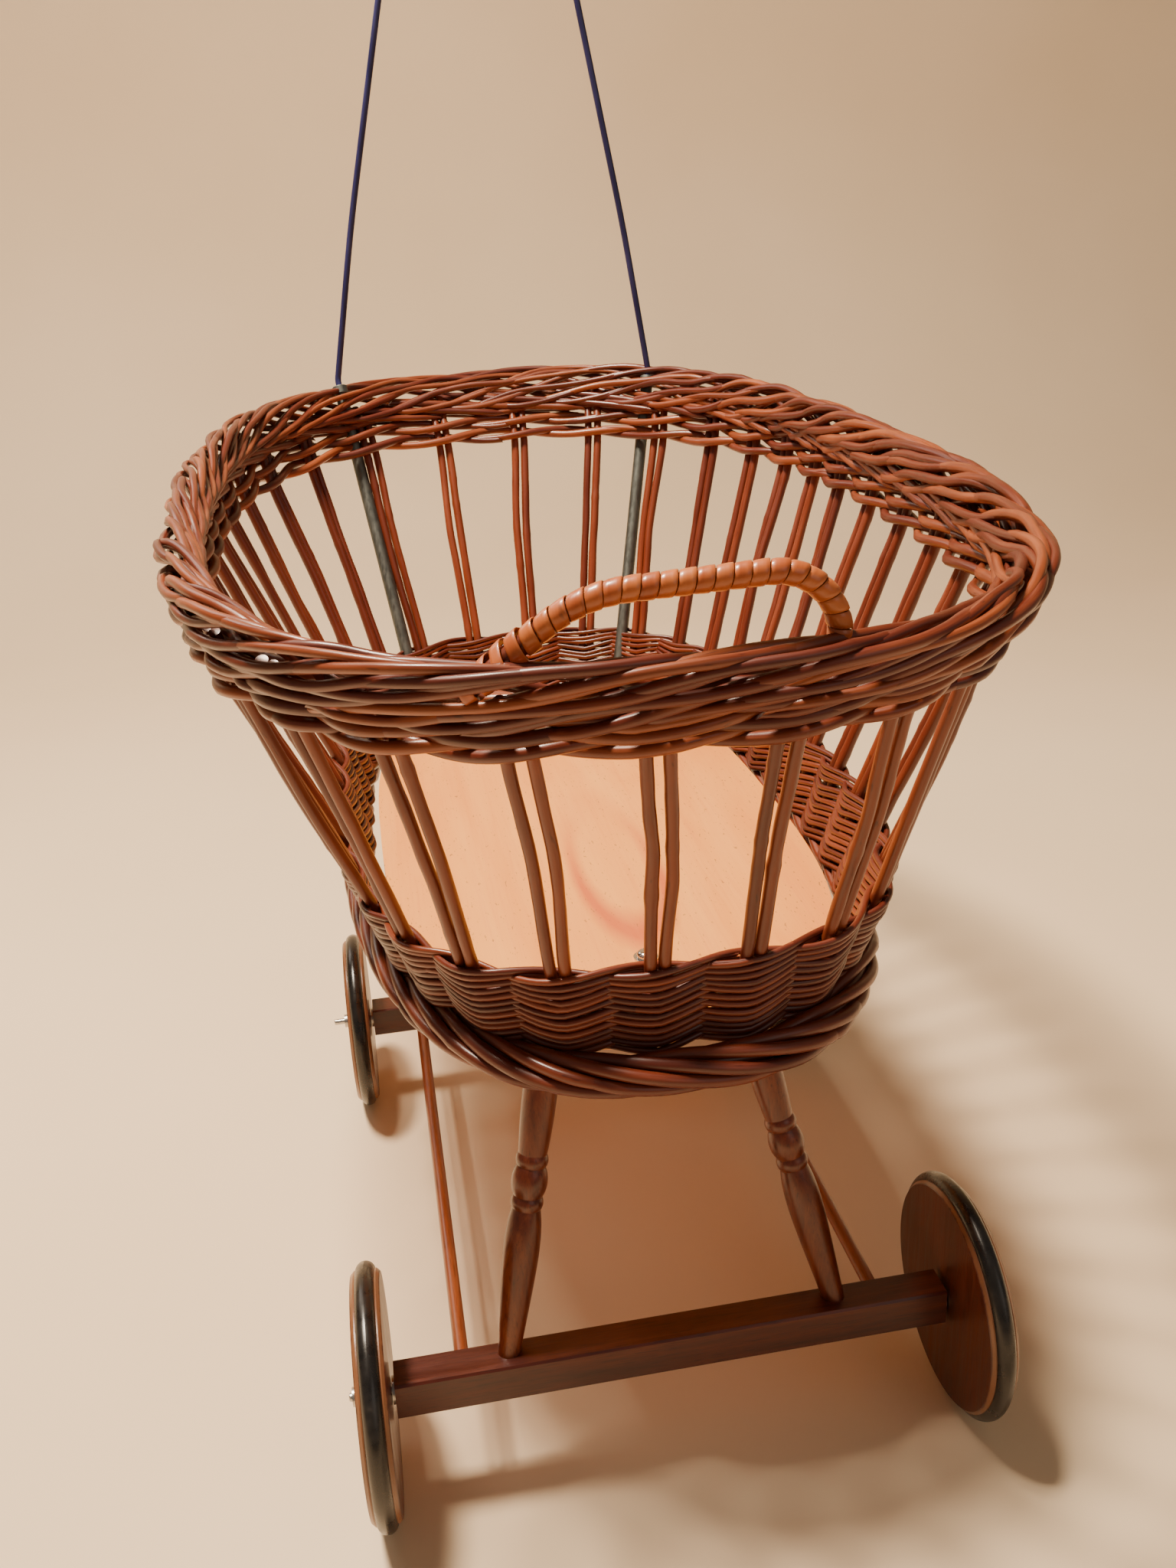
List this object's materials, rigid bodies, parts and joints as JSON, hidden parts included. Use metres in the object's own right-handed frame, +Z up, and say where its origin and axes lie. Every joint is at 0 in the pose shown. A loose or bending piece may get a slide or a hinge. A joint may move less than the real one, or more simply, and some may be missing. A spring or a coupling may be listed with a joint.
{
  "type": "doll stroller",
  "caption": "Wicker doll stroller: woven oval basket on a board, turned legs, axle beams with rubber-tyred wooden wheels, a wrapped push handle and a bent canopy rod.",
  "frame": {"origin": "on the floor, under the middle of the basket's rim", "axes": "+X to the right seen from the push handle, +Y from the push handle towards the canopy end, +Z up"},
  "size_m": [0.4169, 0.7224, 0.8673],
  "materials": {
    "willow": "varnished reddish-brown willow",
    "willow_rim": "varnished dark reddish-brown willow",
    "split_cane": "varnished golden split cane",
    "plywood": "pale clear-varnished plywood",
    "beam_wood": "dark red-brown stained wood",
    "rail_wood": "orange-brown stained dowel",
    "leg_wood": "brown stained turned wood",
    "wheel_wood": "brown stained plywood disc",
    "tyre": "black rubber",
    "steel": "zinc-plated steel",
    "chrome": "bright plated",
    "aluminium": "dull silver tube",
    "hoop_paint": "dark navy coated rod"
  },
  "bodies": {
    "carriage": {"floor_board": "plywood", "foot_border": "willow", "lower_weave": "willow", "lower_top_wale": "willow", "near_canes": "willow", "far_canes": "willow", "left_canes": "willow", "right_canes": "willow", "rim_wale_lower": "willow_rim", "rim_wale_upper": "willow_rim", "rim_weave": "willow_rim", "rim_border": "willow_rim", "push_handle_wrap": "split_cane", "push_handle_core": "willow", "left_socket_tube": "aluminium", "right_socket_tube": "aluminium", "left_tube_ferrule": "steel", "right_tube_ferrule": "steel", "canopy_hoop": "hoop_paint", "near_leg_plate": "plywood", "far_leg_plate": "plywood", "near_left_leg": "leg_wood", "near_right_leg": "leg_wood", "far_left_leg": "leg_wood", "far_right_leg": "leg_wood", "near_axle_beam": "beam_wood", "far_axle_beam": "beam_wood", "left_side_rail": "rail_wood", "right_side_rail": "rail_wood", "near_axle_rod": "steel", "far_axle_rod": "steel", "inner_wheel_washers": "steel", "outer_wheel_washers": "steel", "axle_caps": "steel", "plate_screws": "steel", "board_nut": "steel", "board_bolt": "chrome", "board_washers": "chrome"},
    "near_left_wheel": {"near_left_wheel_disc": "wheel_wood", "near_left_tyre": "tyre"},
    "near_right_wheel": {"near_right_wheel_disc": "wheel_wood", "near_right_tyre": "tyre"},
    "far_left_wheel": {"far_left_wheel_disc": "wheel_wood", "far_left_tyre": "tyre"},
    "far_right_wheel": {"far_right_wheel_disc": "wheel_wood", "far_right_tyre": "tyre"}
  },
  "joints": [
    {"name": "near_left_wheel_spin", "type": "hinge", "parent": "carriage", "child": "near_left_wheel", "pos_m": [-0.1456, -0.257, 0.06], "axis": [1, 0, 0], "continuous": true},
    {"name": "near_right_wheel_spin", "type": "hinge", "parent": "carriage", "child": "near_right_wheel", "pos_m": [0.1456, -0.257, 0.06], "axis": [1, 0, 0], "continuous": true},
    {"name": "far_left_wheel_spin", "type": "hinge", "parent": "carriage", "child": "far_left_wheel", "pos_m": [-0.1456, 0.0876, 0.06], "axis": [1, 0, 0], "continuous": true},
    {"name": "far_right_wheel_spin", "type": "hinge", "parent": "carriage", "child": "far_right_wheel", "pos_m": [0.1456, 0.0876, 0.06], "axis": [1, 0, 0], "continuous": true}
  ]
}
